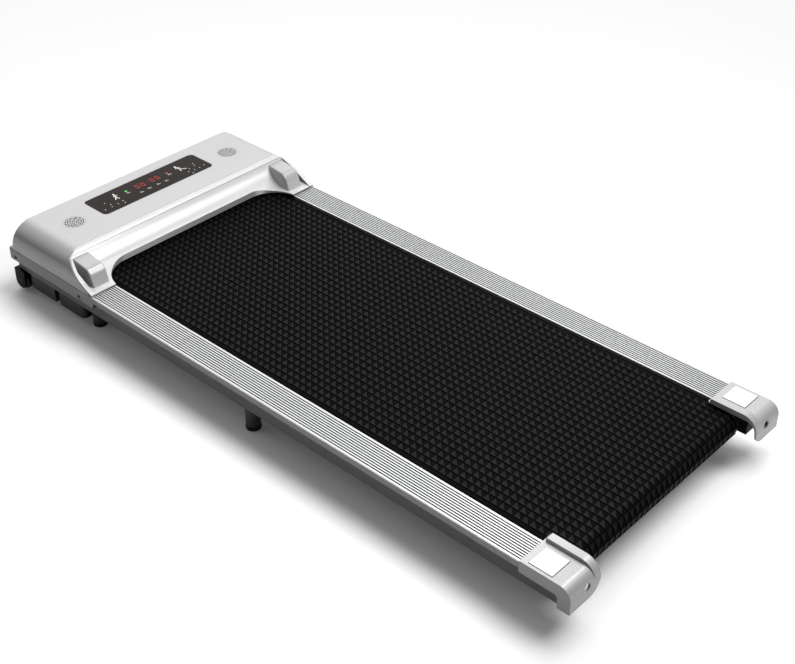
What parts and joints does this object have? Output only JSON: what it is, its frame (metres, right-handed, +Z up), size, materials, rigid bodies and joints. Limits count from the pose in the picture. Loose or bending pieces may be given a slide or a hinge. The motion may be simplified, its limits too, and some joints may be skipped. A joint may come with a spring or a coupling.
{
  "type": "walking pad",
  "caption": "Low walking pad: textured belt on rollers between grooved rails, arched motor hood with display and speakers, end caps and transport wheels.",
  "frame": {"origin": "On the floor under the middle of the pad, at the centre of its bounding box's bottom face.", "axes": "+X runs along the pad towards the motor hood, +Y is to the walker's left, +Z is up."},
  "size_m": [1.236, 0.5248, 0.136],
  "materials": {
    "silver_plastic": "silver-grey moulded, satin gloss",
    "fascia_plastic": "silver-grey moulded, high gloss",
    "rim_plastic": "mid grey moulded",
    "rail_aluminium": "extruded, silver anodised",
    "frame_steel": "dark grey powder coat",
    "bright_steel": "zinc plated",
    "belt_rubber": "black, raised diamond tread",
    "drive_rubber": "black, ribbed inside",
    "pad_rubber": "black, soft",
    "deck_wood": "fibreboard with a waxed face",
    "black_plastic": "black moulded, fine grain",
    "window_acrylic": "brown-black tint, polished",
    "grille_plastic": "silver-grey, perforated",
    "board_laminate": "green solder mask",
    "motor_paint": "satin black",
    "bell_aluminium": "die cast",
    "sink_aluminium": "extruded, plain",
    "rocker_plastic": "red"
  },
  "bodies": {
    "chassis": {"side_channel_left": "frame_steel", "side_channel_right": "frame_steel", "cross_member_rear": "frame_steel", "cross_member_middle": "frame_steel", "cross_member_front": "frame_steel", "deck_board": "deck_wood", "deck_cushions": "pad_rubber", "deck_screws": "bright_steel", "running_belt": "belt_rubber", "front_axle": "bright_steel", "front_axle_brackets": "frame_steel", "rear_axle_bracket_left": "frame_steel", "rear_axle_bracket_right": "frame_steel", "foot_posts": "black_plastic", "foot_pads": "pad_rubber", "wheel_forks": "frame_steel", "wheel_axles": "bright_steel", "side_rail_left": "rail_aluminium", "side_rail_right": "rail_aluminium", "end_cap_left": "silver_plastic", "end_cap_right": "silver_plastic", "hood_cover": "silver_plastic", "hood_fascia": "fascia_plastic", "corner_lug_left": "silver_plastic", "corner_lug_right": "silver_plastic", "rim_side_left": "rim_plastic", "rim_side_right": "rim_plastic", "rim_front": "rim_plastic", "rim_screws": "bright_steel", "display_window": "window_acrylic", "display_board": "board_laminate", "speaker_grilles": "grille_plastic", "speakers": "black_plastic", "motor_tray": "black_plastic", "motor_base_plate": "frame_steel", "motor_cradle": "black_plastic", "motor_can": "motor_paint", "motor_end_bells": "bell_aluminium", "drive_belt": "drive_rubber", "controller_board": "board_laminate", "heat_sink": "sink_aluminium", "power_inlet": "black_plastic", "power_switch_body": "black_plastic", "breaker_body": "black_plastic"},
    "front_roller": {"front_roller_tube": "bright_steel", "front_roller_bearings": "bright_steel", "front_roller_pulley": "black_plastic"},
    "rear_axle": {"rear_axle": "bright_steel"},
    "rear_roller": {"rear_roller_tube": "bright_steel", "rear_roller_bearings": "bright_steel"},
    "motor_rotor": {"motor_rotor": "bright_steel", "motor_fan": "black_plastic", "motor_pulley": "bright_steel"},
    "tension_bolt_left": {"tension_bolt_left": "bright_steel"},
    "tension_bolt_right": {"tension_bolt_right": "bright_steel"},
    "transport_wheel_left": {"transport_wheel_left": "black_plastic"},
    "transport_wheel_right": {"transport_wheel_right": "black_plastic"},
    "power_rocker": {"power_rocker": "rocker_plastic"},
    "reset_button": {"reset_button": "black_plastic"}
  },
  "joints": [
    {"name": "front_roller_spin", "type": "hinge", "parent": "chassis", "child": "front_roller", "pos_m": [0.463, 0, 0.0592], "axis": [0, 1, 0], "continuous": true},
    {"name": "rear_axle_adjust", "type": "slide", "parent": "chassis", "child": "rear_axle", "axis": [1, 0, 0], "range_m": [0, 0.006]},
    {"name": "rear_roller_spin", "type": "hinge", "parent": "rear_axle", "child": "rear_roller", "pos_m": [-0.564, 0, 0.0592], "axis": [0, 1, 0], "continuous": true},
    {"name": "motor_spin", "type": "hinge", "parent": "chassis", "child": "motor_rotor", "pos_m": [0.538, 0.12, 0.0825], "axis": [0, 1, 0], "continuous": true},
    {"name": "tension_bolt_left_turn", "type": "hinge", "parent": "chassis", "child": "tension_bolt_left", "pos_m": [-0.597, 0.226, 0.0702], "axis": [-1, 0, 0], "range_deg": [0, 1730]},
    {"name": "tension_bolt_right_turn", "type": "hinge", "parent": "chassis", "child": "tension_bolt_right", "pos_m": [-0.597, -0.226, 0.0702], "axis": [-1, 0, 0], "range_deg": [0, 1730]},
    {"name": "transport_wheel_left_spin", "type": "hinge", "parent": "chassis", "child": "transport_wheel_left", "pos_m": [0.6, 0.242, 0.019], "axis": [0, 1, 0], "continuous": true},
    {"name": "transport_wheel_right_spin", "type": "hinge", "parent": "chassis", "child": "transport_wheel_right", "pos_m": [0.6, -0.242, 0.019], "axis": [0, 1, 0], "continuous": true},
    {"name": "power_rocker_tip", "type": "hinge", "parent": "chassis", "child": "power_rocker", "pos_m": [0.597, -0.112, 0.107], "axis": [0, -1, 0], "range_deg": [0, 20]},
    {"name": "reset_button_press", "type": "slide", "parent": "chassis", "child": "reset_button", "axis": [-1, 0, 0], "range_m": [0, 0.0025], "stiffness_N_per_m": 400}
  ],
  "couplings": [
    {"joint": "rear_roller_spin", "follows": "front_roller_spin", "ratio": 1},
    {"joint": "motor_spin", "follows": "front_roller_spin", "ratio": 2.9048},
    {"joint": "tension_bolt_left_turn", "follows": "rear_axle_adjust", "rad_per_m": 5026.6},
    {"joint": "tension_bolt_right_turn", "follows": "rear_axle_adjust", "rad_per_m": 5026.6}
  ]
}
